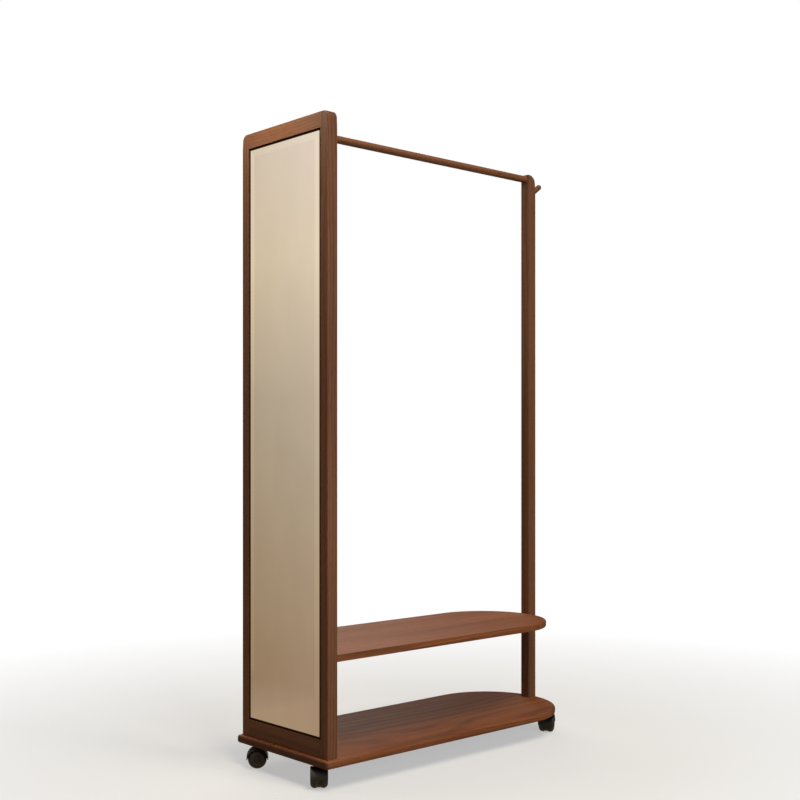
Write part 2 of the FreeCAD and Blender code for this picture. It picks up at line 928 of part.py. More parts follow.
# Casters: a stem screwed up into the base, a hood that swivels on it, and two wheels that
# turn on one axle. Each caster's own frame has the swivel axis as Z and the floor as zero.
def make_caster(name, across, back):
    place = (f"mirror_x + {across}", back, "0")
    turn_words = f"{name}_turn"

    def caster_body(piece):
        body = start_body(f"{name}_{piece}", place, Rotation(Vector(0, 0, 1), 1))
        body.setExpression("Placement.Rotation.Angle", spell(turn_words))
        return keep(body)

    def wheel_rod(body, radius, width, cut=False):
        return rod(body, radius, width, ("trail", f"({width}) / 2", "wheel_radius"), "-y", cut)

    stem = caster_body("caster_stem")
    rod(stem, "pivot_diameter / 2", "pivot_length", ("0", "0", "pivot_low"))
    prism(stem, "flange_width / 2", "flange_thickness", ("0", "0", "caster_height - flange_thickness"))
    rod(stem, "pivot_diameter / 2", "stem_thread_length", ("0", "0", "caster_height"))

    hood = caster_body("caster_hood")
    half_turn = 180
    wheel_rod(hood, "hood_outside", "hood_width").Angle = half_turn
    rod(hood, "neck_diameter / 2", "hood_top - wheel_radius", ("0", "0", "wheel_radius"))
    wheel_rod(hood, "hood_inside", "hood_width + 2 * overrun", cut=True)
    wheel_rod(hood, "hood_inside + hood_wall / 2", "web_width").Angle = half_turn
    wheel_rod(hood, "core_diameter / 2", "web_width")
    rod(
        hood,
        "pivot_diameter / 2 + running_fit",
        "pivot_length + end_play + overrun",
        ("0", "0", "pivot_low - end_play"),
        cut=True,
    )
    wheel_rod(hood, "axle_diameter / 2 + bore_fit", "web_width + 2 * overrun", cut=True)

    axle = caster_body("caster_axle")
    wheel_rod(axle, "axle_diameter / 2", "axle_length")

    # The wheel's half section: hub, dished side and rim, with a blind bore for the axle.
    bore = "axle_diameter / 2 + running_fit"
    inside, outside = "wheel_gap / 2", "hood_width / 2"
    bore_end = "axle_length / 2 + end_play"
    dish = f"{outside} - wheel_dish"
    section = (
        (inside, bore),
        (inside, "wheel_radius"),
        (outside, "wheel_radius"),
        (outside, "wheel_radius - wheel_rim"),
        (dish, "wheel_radius - wheel_rim - wheel_dish"),
        (dish, "wheel_hub / 2 + wheel_dish"),
        (outside, "wheel_hub / 2"),
        (outside, "0"),
        (bore_end, "0"),
        (bore_end, bore),
    )
    for letter, side in (("a", -1), ("b", 1)):
        wheel = caster_body(f"wheel_{letter}")
        sketch = start_sketch(wheel, "YZ_Plane", ("0", "wheel_radius", "trail"))
        polygon(sketch, [(f"{side} * ({across_words})", up) for across_words, up in section])
        turned = wheel.newObject("PartDesign::Revolution", "Turned")
        turned.Profile = sketch
        turned.ReferenceAxis = (sketch, ["H_Axis"])
        turned.Angle = 2 * half_turn

        def tread_edge(face):
            def picked(edge):
                full_circle = edge.BoundBox.ZLength > number("wheel_diameter") - same_spot
                return full_circle and lies_at(edge, "Y", f"{side} * ({face})")

            return picked

        soften(wheel, "wheel_shoulder", tread_edge(outside))
        soften(wheel, "wheel_edge", tread_edge(inside))


for name, (across, back) in caster_spots.items():
    make_caster(name, across, back)

doc.recompute()

faults = [thing.Label for thing in doc.Objects if {"Invalid", "Error"} & set(thing.State)]
faults += [node.Label for node in nodes if node.Shape.isNull() or not node.Shape.isValid()]
faults += [cut.Label for cut in cuts if cut.BaseFeature.Shape.Volume - cut.Shape.Volume < same_spot]
faults += [
    node.Label
    for node in nodes
    if node.TypeId == "PartDesign::Body" and len(node.Shape.Solids) != 1
]
if faults:
    raise RuntimeError("failed: " + ", ".join(sorted(set(faults))))

os.makedirs("parts", exist_ok=True)
for node in nodes:
    node.Shape.exportStep(f"parts/{node.Label}.step")

bounds = FreeCAD.BoundBox()
for node in nodes:
    bounds.add(node.Shape.BoundBox)
print(len(nodes), "nodes", "low", tuple(round(v, 2) for v in (bounds.XMin, bounds.YMin, bounds.ZMin)))
print("high", tuple(round(v, 2) for v in (bounds.XMax, bounds.YMax, bounds.ZMax)))
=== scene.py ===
import json
import math

import bmesh
import bpy
from mathutils import Matrix, Vector


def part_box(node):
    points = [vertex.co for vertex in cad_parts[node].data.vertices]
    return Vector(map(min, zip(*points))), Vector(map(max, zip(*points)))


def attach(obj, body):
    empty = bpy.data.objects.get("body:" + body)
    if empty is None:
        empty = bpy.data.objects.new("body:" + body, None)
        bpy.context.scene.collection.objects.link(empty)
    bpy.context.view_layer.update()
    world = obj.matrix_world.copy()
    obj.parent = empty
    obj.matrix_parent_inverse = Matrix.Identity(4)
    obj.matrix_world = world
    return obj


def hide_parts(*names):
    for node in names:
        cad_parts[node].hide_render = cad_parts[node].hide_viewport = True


# A hall stand on casters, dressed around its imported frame. Lengths are in metres.
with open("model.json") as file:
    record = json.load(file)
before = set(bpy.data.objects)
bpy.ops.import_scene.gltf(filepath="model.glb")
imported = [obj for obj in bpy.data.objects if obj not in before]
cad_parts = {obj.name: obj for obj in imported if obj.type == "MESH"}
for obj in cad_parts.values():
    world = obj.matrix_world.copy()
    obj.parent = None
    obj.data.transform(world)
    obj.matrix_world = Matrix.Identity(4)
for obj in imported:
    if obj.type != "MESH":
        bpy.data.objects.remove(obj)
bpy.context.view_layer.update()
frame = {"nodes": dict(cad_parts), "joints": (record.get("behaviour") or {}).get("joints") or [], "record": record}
scene = bpy.context.scene
nodes = frame["nodes"]
rounding = 1e-5  # two places closer than this are the same place
smoothBelow = math.radians(40)  # faces that meet at less than this look like one
quarterTurn, halfTurn, fullTurn = math.pi / 2, math.pi, 2 * math.pi
xAxis, zAxis = 0, 2
white, black = (1, 1, 1, 1), (0, 0, 0, 1)
print("frame loaded:", len(nodes), "nodes")


def deselectAll():
    bpy.ops.object.select_all(action="DESELECT")


def selectOnly(piece):
    deselectAll()
    piece.select_set(True)
    bpy.context.view_layer.objects.active = piece


def nameNew(name):
    piece = bpy.context.object
    piece.name = piece.data.name = name
    bpy.ops.object.transform_apply(location=True, rotation=True, scale=True)
    return piece


def addBlock(name, low, high):
    low, high = Vector(low), Vector(high)
    deselectAll()
    bpy.ops.mesh.primitive_cube_add(size=1, location=(low + high) / 2)
    bpy.context.object.scale = high - low
    return nameNew(name)


def addRod(name, sides, radius, depth, middle, rotation=(0, 0, 0)):
    deselectAll()
    bpy.ops.mesh.primitive_cylinder_add(
        vertices=sides, radius=radius, depth=depth, location=middle, rotation=rotation
    )
    return nameNew(name)


def openMesh(piece, kind="EDGE"):
    selectOnly(piece)
    bpy.ops.object.mode_set(mode="EDIT")
    bpy.ops.mesh.select_mode(type=kind)
    bpy.ops.mesh.select_all(action="DESELECT")
    return bmesh.from_edit_mesh(piece.data)


def closeMesh():
    bpy.ops.object.mode_set(mode="OBJECT")


def mergeDoubles():
    # in edit mode: joins the corners that lie together and drops the edges that bound nothing
    bpy.ops.mesh.select_all(action="SELECT")
    bpy.ops.mesh.remove_doubles(threshold=rounding)
    bpy.ops.mesh.delete_loose()


def near(value, place):
    return abs(value - place) < rounding


def bevelEdges(piece, radius, steps, wanted):
    # rounds the edges whose two ends pass the test
    mesh = openMesh(piece)
    for edge in mesh.edges:
        if wanted(*(vertex.co for vertex in edge.verts)):
            edge.select_set(True)
    bmesh.update_edit_mesh(piece.data)
    bpy.ops.mesh.bevel(offset=radius, segments=steps, affect="EDGES", clamp_overlap=False)
    mergeDoubles()
    closeMesh()


def roundEdges(piece, radius, steps, wanted):
    # the same, with a test that each end passes by itself
    bevelEdges(piece, radius, steps, lambda start, end: wanted(start) and wanted(end))


def applyModifier(piece, kind, **settings):
    selectOnly(piece)
    modifier = piece.modifiers.new(kind.title(), kind)
    for name, value in settings.items():
        setattr(modifier, name, value)
    bpy.ops.object.modifier_apply(modifier=modifier.name)


def combine(piece, tool, operation):
    applyModifier(piece, "BOOLEAN", operation=operation, object=tool, solver="EXACT")
    bpy.data.meshes.remove(tool.data)


def shadeSmoothly(piece):
    selectOnly(piece)
    bpy.ops.object.shade_smooth_by_angle(angle=smoothBelow)
    applyModifier(piece, "WEIGHTED_NORMAL", keep_sharp=True)


def spinProfile(name, points, centre, steps, angle, filled=False):
    # draws an outline point by point and turns it about the Y axis through the centre,
    # from +X up to -X
    deselectAll()
    bpy.ops.mesh.primitive_plane_add(size=rounding, location=points[0])
    piece = nameNew(name)
    openMesh(piece, "VERT")
    bpy.ops.mesh.select_all(action="SELECT")
    bpy.ops.mesh.merge(type="CENTER")
    for start, end in zip(points, points[1:]):
        bpy.ops.mesh.extrude_region_move(TRANSFORM_OT_translate={"value": end - start})
    bpy.ops.mesh.select_all(action="SELECT")
    if filled:
        bpy.ops.mesh.edge_face_add()
    bpy.ops.mesh.spin(steps=steps, angle=angle, center=centre, axis=(0, 1, 0))
    mergeDoubles()
    bpy.ops.mesh.select_all(action="SELECT")
    bpy.ops.mesh.normals_make_consistent(inside=False)
    closeMesh()
    return piece


def dress(piece, body, material, replaced):
    piece.data.materials.clear()
    piece.data.materials.append(material)
    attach(piece, body)
    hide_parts(replaced)


def addNode(tree, kind, inputs=None, **settings):
    made = tree.nodes.new("ShaderNode" + kind)
    for name, value in settings.items():
        setattr(made, name, value)
    for socket, value in (inputs or {}).items():
        if isinstance(value, bpy.types.NodeSocket):
            tree.links.new(value, made.inputs[socket])
        else:
            made.inputs[socket].default_value = value
    return made


def calculate(tree, operation, *values, clamp=False):
    inputs = dict(enumerate(values))
    return addNode(tree, "Math", inputs, operation=operation, use_clamp=clamp).outputs[0]


def vectorMath(tree, operation, first, second):
    made = addNode(tree, "VectorMath", {0: first, 1: second}, operation=operation)
    return made.outputs["Vector"]


def measure(tree, operation, *vectors):
    # a length or a dot product of vectors
    made = addNode(tree, "VectorMath", dict(enumerate(vectors)), operation=operation)
    return made.outputs["Value"]


def split(tree, vector):
    return addNode(tree, "SeparateXYZ", {0: vector}).outputs


def spread(tree, value, low, high, to=(0, 1)):
    inputs = {"Value": value, "From Min": low, "From Max": high, "To Min": to[0], "To Max": to[1]}
    return addNode(tree, "MapRange", inputs).outputs[0]


def mixColours(tree, factor, first, second, mode="MIX"):
    inputs = {0: factor, 6: first, 7: second}
    return addNode(tree, "Mix", inputs, data_type="RGBA", blend_type=mode).outputs[2]


def noise(tree, vector, pattern, output="Fac"):
    # a pattern's stretch is how often it changes in a metre along X, Y and Z
    stretched = vectorMath(tree, "MULTIPLY", vector, pattern["stretch"])
    inputs = {"Vector": stretched, "Scale": 1, "Detail": pattern["detail"]}
    return addNode(tree, "TexNoise", inputs).outputs[output]


def patches(tree, vector, pattern, to=(0, 1)):
    # the noise between the pattern's two levels
    return spread(tree, noise(tree, vector, pattern), *pattern["levels"], to)


def colour(red, green, blue):
    # a colour as a screen shows it, 0 to 255, turned into the shader's own scale
    def straight(value):
        value /= 255
        return value / 12.92 if value <= 0.04045 else ((value + 0.055) / 1.055) ** 2.4

    return (straight(red), straight(green), straight(blue), 1)


def startGroup(name, inputs, outputs):
    tree = bpy.data.node_groups.new(name, "ShaderNodeTree")
    for label, kind in inputs.items():
        tree.interface.new_socket(label, in_out="INPUT", socket_type="NodeSocket" + kind)
    for label, kind in outputs.items():
        tree.interface.new_socket(label, in_out="OUTPUT", socket_type="NodeSocket" + kind)
    return tree, tree.nodes.new("NodeGroupInput").outputs


def closeGroup(tree, **results):
    last = tree.nodes.new("NodeGroupOutput")
    for label, socket in results.items():
        tree.links.new(socket, last.inputs[label])


def useGroup(tree, group, inputs):
    return addNode(tree, "Group", inputs, node_tree=group).outputs


def startMaterial(name, **settings):
    material = bpy.data.materials.new(name)
    material.use_nodes = True
    tree = material.node_tree
    shader = tree.nodes["Principled BSDF"]
    for label, value in settings.items():
        shader.inputs[label.replace("_", " ")].default_value = value
    place = addNode(tree, "TexCoord").outputs["Object"]
    return material, tree, shader, place


def joinShader(tree, shader, **results):
    for label, socket in results.items():
        tree.links.new(socket, shader.inputs[label.replace("_", " ")])


def joinRelief(tree, shader, height, relief):
    inputs = {"Height": height, "Distance": relief["depth"], "Strength": relief["strength"]}
    tree.links.new(addNode(tree, "Bump", inputs).outputs[0], shader.inputs["Normal"])


# Sawn timber whose trunk lies along Z: rings round a far pith, long fibres and short pores
grainPattern = {
    "wander": {"stretch": (2.6, 2.6, 0.9), "detail": 2},
    "wanderMiddle": (0.5, 0.5, 0.5),
    "wanderReach": (0.055, 0.055, 0),
    "pith": (0.043, 0.091, 0),
    "taper": (1, 1, 0.012),
    "ringLevels": (-0.4, 1),
    "ringPower": 1.6,
    "ringShare": 0.55,
    "bands": {"stretch": (21, 21, 0.8), "detail": 3, "levels": (0.4, 0.68)},
    "bandShare": 0.5,
    "fibre": {"stretch": (520, 520, 9), "detail": 3},
    "fibreLevels": (0.3, 0.7),
    "fibreShare": (-0.16, 0.16),
    "fibreHeight": 0.5,
    "fibreRoughness": (0.46, 0.58),
    "pores": {"stretch": (1100, 1100, 38), "detail": 1, "levels": (0.6, 0.72)},
    "poreShade": 0.55,
    "poreRoughness": 0.1,
    "glints": {"stretch": (7, 7, 1.3), "detail": 2, "levels": (0.45, 0.75)},
    "glintShare": (0, 0.45),
    "darkShare": 0.55,
    "endLevels": (0.3, 0.9),
}


def makeGrainGroup():
    pattern = grainPattern
    tree, given = startGroup(
        "timberGrain",
        {
            "Vector": "Vector",
            "Facing": "Vector",
            "Body": "Color",
            "Late": "Color",
            "Sheen": "Color",
            "Ring Width": "Float",
            "Figure": "Float",
            "End Stain And Shade": "Float",
        },
        {"Color": "Color", "Roughness": "Float", "Height": "Float"},
    )
    place = given["Vector"]
    wander = noise(tree, place, pattern["wander"], "Color")
    wander = vectorMath(tree, "SUBTRACT", wander, pattern["wanderMiddle"])
    wander = vectorMath(tree, "MULTIPLY", wander, pattern["wanderReach"])
    warped = vectorMath(tree, "ADD", place, wander)
    fromPith = vectorMath(tree, "ADD", warped, pattern["pith"])
    fromPith = vectorMath(tree, "MULTIPLY", fromPith, pattern["taper"])
    rings = calculate(tree, "DIVIDE", measure(tree, "LENGTH", fromPith), given["Ring Width"])
    turn = calculate(tree, "MULTIPLY", rings, fullTurn)
    ring = spread(tree, calculate(tree, "SINE", turn), *pattern["ringLevels"])
    ring = calculate(tree, "POWER", ring, pattern["ringPower"])
    bands = patches(tree, warped, pattern["bands"])
    fibre = noise(tree, warped, pattern["fibre"])
    pores = patches(tree, place, pattern["pores"])

    # the darker late wood, and a painted sheen where light catches the fibres
    streaks = calculate(tree, "MULTIPLY", bands, pattern["bandShare"])
    threads = spread(tree, fibre, *pattern["fibreLevels"], pattern["fibreShare"])
    late = calculate(tree, "MULTIPLY", ring, pattern["ringShare"])
    late = calculate(tree, "ADD", late, streaks)
    late = calculate(tree, "ADD", late, threads)
    late = calculate(tree, "MULTIPLY", late, given["Figure"], clamp=True)
    tone = mixColours(tree, late, given["Body"], given["Late"])
    glint = patches(tree, place, pattern["glints"], pattern["glintShare"])
    tone = mixColours(tree, glint, tone, given["Sheen"])

    # pores are dark, and cut ends drink more stain; the same darkening reaches round onto rounded ends and edges
    # as painted shade
    dark = mixColours(tree, pattern["darkShare"], given["Late"], black)
    poreShade = calculate(tree, "MULTIPLY", pores, pattern["poreShade"])
    tone = mixColours(tree, poreShade, tone, dark)
    lengthwise = calculate(tree, "ABSOLUTE", split(tree, given["Facing"])["Z"])
    ends = spread(tree, lengthwise, *pattern["endLevels"])
    tone = mixColours(tree, calculate(tree, "MULTIPLY", ends, given["End Stain And Shade"]), tone, dark)

    rough = spread(tree, fibre, *pattern["fibreLevels"], pattern["fibreRoughness"])
    roughPores = calculate(tree, "MULTIPLY", pores, pattern["poreRoughness"])
    rough = calculate(tree, "ADD", rough, roughPores)
    height = calculate(tree, "MULTIPLY", fibre, pattern["fibreHeight"])
    height = calculate(tree, "SUBTRACT", height, pores)
    closeGroup(tree, Color=tone, Roughness=rough, Height=height)
    return tree


# Where a surface turns a corner: handling rubs the finish there, and on the timber it is also a painted highlight
# along the edges
rubPattern = {
    "samples": 4,
    "cornerLevels": (0.995, 0.8),
    "patches": {"stretch": (38, 38, 38), "detail": 3, "levels": (0.35, 0.65)},
}


def makeWearAndHighlightGroup():
    tree, given = startGroup("edgeRub", {"Vector": "Vector", "Radius": "Float"}, {"Rub": "Float"})
    inputs = {"Radius": given["Radius"]}
    rounded = addNode(tree, "Bevel", inputs, samples=rubPattern["samples"]).outputs[0]
    flat = addNode(tree, "NewGeometry").outputs["Normal"]
    facing = measure(tree, "DOT_PRODUCT", rounded, flat)
    corner = spread(tree, facing, *rubPattern["cornerLevels"])
    patchy = patches(tree, given["Vector"], rubPattern["patches"])
    closeGroup(tree, Rub=calculate(tree, "MULTIPLY", corner, patchy))
    return tree


# Thin uneven film of dust and wiping marks, thickest on what faces up
filmPattern = {
    "upLevels": (-0.2, 1),
    "upShare": (0.25, 1),
    "clouds": {"stretch": (9, 9, 9), "detail": 5, "levels": (0.35, 0.7)},
    "specks": {"stretch": (620, 620, 620), "detail": 1, "levels": (0.55, 0.8)},
}


def makeFilmGroup():
    pattern = filmPattern
    tree, given = startGroup(
        "dustFilm", {"Vector": "Vector", "Amount": "Float"}, {"Film": "Float"}
    )
    up = split(tree, addNode(tree, "NewGeometry").outputs["Normal"])["Z"]
    lying = spread(tree, up, *pattern["upLevels"], pattern["upShare"])
    clouds = patches(tree, given["Vector"], pattern["clouds"])
    specks = patches(tree, given["Vector"], pattern["specks"])
    film = calculate(tree, "MULTIPLY", calculate(tree, "ADD", clouds, specks), lying)
    closeGroup(tree, Film=calculate(tree, "MULTIPLY", film, given["Amount"], clamp=True))
    return tree


grainGroup, wearAndHighlightGroup, filmGroup = makeGrainGroup(), makeWearAndHighlightGroup(), makeFilmGroup()
print("shared effects ready")


# Timber finishes: each piece has its own grain direction and its own place in the trunk
walnut = {
    "body": colour(132, 83, 54),
    "late": colour(78, 44, 27),
    "sheen": colour(150, 99, 66),
    "wornAndLit": colour(150, 98, 66),
    "dust": colour(178, 160, 142),
    "ringWidth": 0.009,
    "figure": 0.75,
    # how far cut ends are darkened by stain, and rounded ends by painted shade
    "endStainAndShade": 0.5,
    "coat": 0.05,
    "coatRoughness": 0.4,
    "specular": 0.3,
    "edgeRadius": 0.0022,
    "rubAndHighlightShare": 0.5,
    "dustAmount": 0.06,
    "depth": 0.0002,
    "strength": 0.25,
}
# a brighter, warmer copy for the boards, as painted light on their upward faces, with stronger painted shade at
# their ends
litBoardWalnut = dict(
    walnut,
    body=colour(150, 86, 48),
    late=colour(88, 46, 26),
    sheen=colour(168, 104, 60),
    endStainAndShade=0.8,
    coat=0.03,
    specular=0.25,
)
# a darker copy for the post and its peg, as painted shade where they stand in less light
postWalnut = dict(
    walnut,
    body=colour(122, 78, 53),
    late=colour(74, 42, 27),
    sheen=colour(138, 93, 64),
)
panelWalnut = dict(
    walnut,
    body=colour(120, 73, 47),
    late=colour(74, 40, 25),
    ringWidth=0.022,
    coat=0,
)
railWalnut = dict(walnut, edgeRadius=0.0004, dustAmount=0.03)
shadedPegWalnut = dict(postWalnut, edgeRadius=0.0004, dustAmount=0.03)
beech = dict(
    walnut,
    body=colour(214, 178, 132),
    late=colour(184, 142, 96),
    sheen=colour(226, 196, 154),
    ringWidth=0.004,
    coat=0,
)
alongX, alongY, alongZ = (0, -quarterTurn, 0), (quarterTurn, 0, 0), (0, 0, 0)


def makeTimber(name, direction, offset, finish=walnut, shadedRebate=False):
    # the offset is the piece's place in the trunk
    material, tree, shader, place = startMaterial(
        name,
        Coat_Weight=finish["coat"],
        Coat_Roughness=finish["coatRoughness"],
        Specular_IOR_Level=finish["specular"],
    )
    turned = {"Vector": place, "Rotation": direction, "Location": offset}
    normal = addNode(tree, "NewGeometry").outputs["Normal"]
    facing = {"Vector": normal, "Rotation": direction}
    grain = useGroup(
        tree,
        grainGroup,
        {
            "Vector": addNode(tree, "Mapping", turned).outputs[0],
            "Facing": addNode(tree, "Mapping", facing, vector_type="VECTOR").outputs[0],
            "Body": finish["body"],
            "Late": finish["late"],
            "Sheen": finish["sheen"],
            "Ring Width": finish["ringWidth"],
            "Figure": finish["figure"],
            "End Stain And Shade": finish["endStainAndShade"],
        },
    )
    wearAndHighlight = useGroup(tree, wearAndHighlightGroup, {"Vector": place, "Radius": finish["edgeRadius"]})
    film = useGroup(tree, filmGroup, {"Vector": place, "Amount": finish["dustAmount"]})
    # painted highlight and rubbed finish: corners are lightened towards a paler tone
    rubbed = calculate(tree, "MULTIPLY", wearAndHighlight["Rub"], finish["rubAndHighlightShare"])
    tone = mixColours(tree, rubbed, grain["Color"], finish["wornAndLit"])
    tone = mixColours(tree, film["Film"], tone, finish["dust"])
    # painted shade: the walls of the opening round the pane are darkened
    if shadedRebate:
        inset = useGroup(tree, openingGroup, {"Vector": place})["Inset"]
        wallShade = spread(tree, inset, *mirrorFrame["rebateShadeFade"], mirrorFrame["rebateShadeShare"])
        tone = mixColours(tree, wallShade, tone, mirrorFrame["rebateShadeTone"])
    rough = calculate(tree, "ADD", grain["Roughness"], film["Film"])
    joinShader(tree, shader, Base_Color=tone, Roughness=rough)
    joinRelief(tree, shader, grain["Height"], finish)
    return material


def finishTimber(piece, node, material):
    shadeSmoothly(piece)
    dress(piece, "stand", material, node)


# Mirror frame: two full-height uprights with two rails between them, stepped behind for the
# back panel. The walls of its opening are painted dark, as painted shade in the recess round the pane.
mirrorFrame = {
    "cornerRadius": 0.018,
    "cornerSteps": 12,
    "outlineRadius": 0.002,
    "outlineSteps": 3,
    "sightRadius": 0.0012,
    "jointRadius": 0.0007,
    "fineSteps": 2,
    "ledge": 0.013,
    "panelMargin": 0.014,
    "overrun": 0.001,
    # the painted shade on the walls of the opening
    "rebateShadeTone": colour(34, 22, 16),
    "rebateShadeFade": (-0.0004, -0.0002),
    "rebateShadeShare": (0, 0.8),
    # each stile with its side and its place in the trunk, each rail with whether it is on top
    "stiles": (("front_stile", -1, (0.31, 0.02, 0)), ("back_stile", 1, (0.12, 0.27, 0.6))),
    "rails": (("top_rail", True, (0.22, 0.4, 1.1)), ("bottom_rail", False, (0.05, 0.13, 1.7))),
}
sightLow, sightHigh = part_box("bottom_rail")[1].z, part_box("top_rail")[0].z
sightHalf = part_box("top_rail")[1].y
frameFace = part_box("front_stile")[0].x


def makeOpeningGroup():
    # how far inside the frame's opening a place lies, below nothing on the frame itself
    tree, given = startGroup("openingInset", {"Vector": "Vector"}, {"Inset": "Float"})
    spot = split(tree, given["Vector"])
    aside = calculate(tree, "SUBTRACT", sightHalf, calculate(tree, "ABSOLUTE", spot["Y"]))
    under = calculate(tree, "SUBTRACT", sightHigh, spot["Z"])
    over = calculate(tree, "SUBTRACT", spot["Z"], sightLow)
    upright = calculate(tree, "MINIMUM", under, over)
    closeGroup(tree, Inset=calculate(tree, "MINIMUM", aside, upright))
    return tree


openingGroup = makeOpeningGroup()


def cutStep(piece, low, high):
    # low and high are the opening's corners in Y and Z, as far as the piece reaches along it
    size = mirrorFrame
    back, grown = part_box("front_stile")[1].x + size["overrun"], size["panelMargin"]
    lowest = (frameFace + size["ledge"], low[0] - grown, low[1] - grown)
    step = addBlock("step", lowest, (back, high[0] + grown, high[1] + grown))
    combine(piece, step, "DIFFERENCE")


def roundSight(piece, wanted):
    roundEdges(piece, mirrorFrame["sightRadius"], mirrorFrame["fineSteps"], wanted)


def roundOutline(piece, wanted):
    roundEdges(piece, mirrorFrame["outlineRadius"], mirrorFrame["outlineSteps"], wanted)


def buildStile(node, side):
    size = mirrorFrame
    low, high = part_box(node)
    outer, inner = (low.y, high.y) if side < 0 else (high.y, low.y)

    def atCorner(spot):
        return near(spot.y, outer) and near(spot.z, high.z)

    def onOutline(spot):
        return (not near(spot.y, inner) or near(spot.z, high.z)) and spot.z > low.z

    piece = addBlock(node + "_timber", low, high)
    roundEdges(piece, size["cornerRadius"], size["cornerSteps"], atCorner)
    for face in (low.x, high.x):
        roundOutline(piece, lambda spot: near(spot.x, face) and onOutline(spot))
    roundSight(piece, lambda spot: near(spot.x, low.x) and near(spot.y, inner))
    cutStep(piece, (-sightHalf, sightLow), (sightHalf, sightHigh))
    return piece


def buildCrossRail(node, top):
    size = mirrorFrame
    low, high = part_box(node)
    sight = low.z if top else high.z
    piece = addBlock(node + "_timber", low, high)
    if top:
        for face in (low.x, high.x):
            roundOutline(piece, lambda spot: near(spot.x, face) and near(spot.z, high.z))
    roundSight(piece, lambda spot: near(spot.x, low.x) and near(spot.z, sight))
    for end in (low.y, high.y):
        roundEdges(
            piece,
            size["jointRadius"],
            size["fineSteps"],
            lambda spot: near(spot.x, low.x) and near(spot.y, end),
        )
    reach = sightHalf + size["overrun"]
    cutStep(piece, (-reach, sightLow), (reach, sightHigh))
    return piece


for node, side, offset in mirrorFrame["stiles"]:
    material = makeTimber(node + "Walnut", alongZ, offset, shadedRebate=True)
    finishTimber(buildStile(node, side), node, material)
for node, top, offset in mirrorFrame["rails"]:
    material = makeTimber(node + "Walnut", alongY, offset, shadedRebate=True)
    finishTimber(buildCrossRail(node, top), node, material)
print("mirror frame built")


# Seats for the heads and caps that come flush with a face: the timber is bored out round them
seats = {
    "fit": 0.0001,
    "overrun": 0.001,
    "sides": 48,
    "headSpan": 0.02,
    "depths": {
        "post_screw_cap": 0.003,
        "shelf_cams": 0.0125,
        "frame_base_screws": 0.005,
        "post_base_bolt": 0.008,
        "caster_insert_nuts": 0.013,
    },
}


def findHeads(node, axis, level, depth):
    # the middle and radius of each round head that a node has within this depth of a face
    heads = []
    for vertex in nodes[node].data.vertices:
        if abs(vertex.co[axis] - level) > depth + rounding:
            continue
        spot = vertex.co.copy()
        spot[axis] = level
        for head in heads:
            if (head[0] - spot).length < seats["headSpan"]:
                head.append(spot)
                break
        else:
            heads.append([spot])
    for head in heads:
        low = Vector([min(places) for places in zip(*head)])
        high = Vector([max(places) for places in zip(*head)])
        yield (low + high) / 2, max(high - low) / 2


def boreSeats(piece, node, axis, outward):
    # outward is 1 or -1, the way that the face looks along the axis
    low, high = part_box(node)
    level = high[axis] if outward > 0 else low[axis]
    depth, overrun = seats["depths"][node], seats["overrun"]
    turned = (0, quarterTurn, 0) if axis == xAxis else (0, 0, 0)
    for middle, radius in findHeads(node, axis, level, depth):
        middle[axis] += outward * (overrun - depth) / 2
        wide = radius + seats["fit"]
        bore = addRod("seat", seats["sides"], wide, depth + overrun, middle, turned)
        combine(piece, bore, "DIFFERENCE")


# Post, with its outer top corner rounded over
post = {
    "crownRadius": 0.026,
    "crownSteps": 14,
    "edgeRadius": 0.003,
    "edgeSteps": 4,
    "offset": (0.4, 0.33, 0.2),
}
low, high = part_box("post")
piece = addBlock("post_timber", low, high)
roundEdges(
    piece,
    post["crownRadius"],
    post["crownSteps"],
    lambda spot: near(spot.x, high.x) and near(spot.z, high.z),
)
for side in (low.y, high.y):
    roundEdges(
        piece,
        post["edgeRadius"],
        post["edgeSteps"],
        lambda spot: near(spot.y, side) and not near(spot.z, low.z),
    )
boreSeats(piece, "post_screw_cap", xAxis, 1)
finishTimber(piece, "post", makeTimber("postWalnut", alongZ, post["offset"], postWalnut))
print("post built")


# Shelf and base board: square at the mirror, half round at the post
boards = {
    "baseEdge": 0.006,
    "baseCorner": 0.012,
    "shelfEdge": 0.004,
    "housing": 0.005,
    "fit": 0.0001,
    "roundSteps": 40,
    "cornerSteps": 8,
    "edgeSteps": 5,
    "baseOffset": (0.7, 0.1, 0.4),
    "shelfOffset": (0.2, 0.5, 0.9),
}


def buildBoard(node, low, high, corner, edge):
    # a board without a corner radius keeps its end at the mirror sharp
    def onRoundEnd(start, end):
        return near(start.x, high.x) and near(end.x, high.x) and near(start.y, end.y)

    piece = addBlock(node + "_timber", low, high)
    bevelEdges(piece, (high.y - low.y) / 2, boards["roundSteps"], onRoundEnd)
    if corner:
        for side in (low.y, high.y):
            roundEdges(
                piece,
                corner,
                boards["cornerSteps"],
                lambda spot: near(spot.x, low.x) and near(spot.y, side),
            )
    for face in (low.z, high.z):
        roundEdges(
            piece,
            edge,
            boards["edgeSteps"],
            lambda spot: near(spot.z, face) and (corner or not near(spot.x, low.x)),
        )
    return piece


low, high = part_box("base_board")
piece = buildBoard("base_board", low, high, boards["baseCorner"], boards["baseEdge"])
for node in ("frame_base_screws", "post_base_bolt", "caster_insert_nuts"):
    boreSeats(piece, node, zAxis, -1)
material = makeTimber("litBaseWalnut", alongX, boards["baseOffset"], litBoardWalnut)
finishTimber(piece, "base_board", material)

low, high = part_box("shelf_board")
postLow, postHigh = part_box("post")
high.x = postLow.x + boards["housing"]
piece = buildBoard("shelf_board", low, high, None, boards["shelfEdge"])
fit = Vector((0, boards["fit"], 0))
combine(piece, addBlock("housing", postLow - fit, postHigh + fit), "DIFFERENCE")
boreSeats(piece, "shelf_cams", zAxis, -1)
material = makeTimber("litShelfWalnut", alongX, boards["shelfOffset"], litBoardWalnut)
finishTimber(piece, "shelf_board", material)
print("boards built")


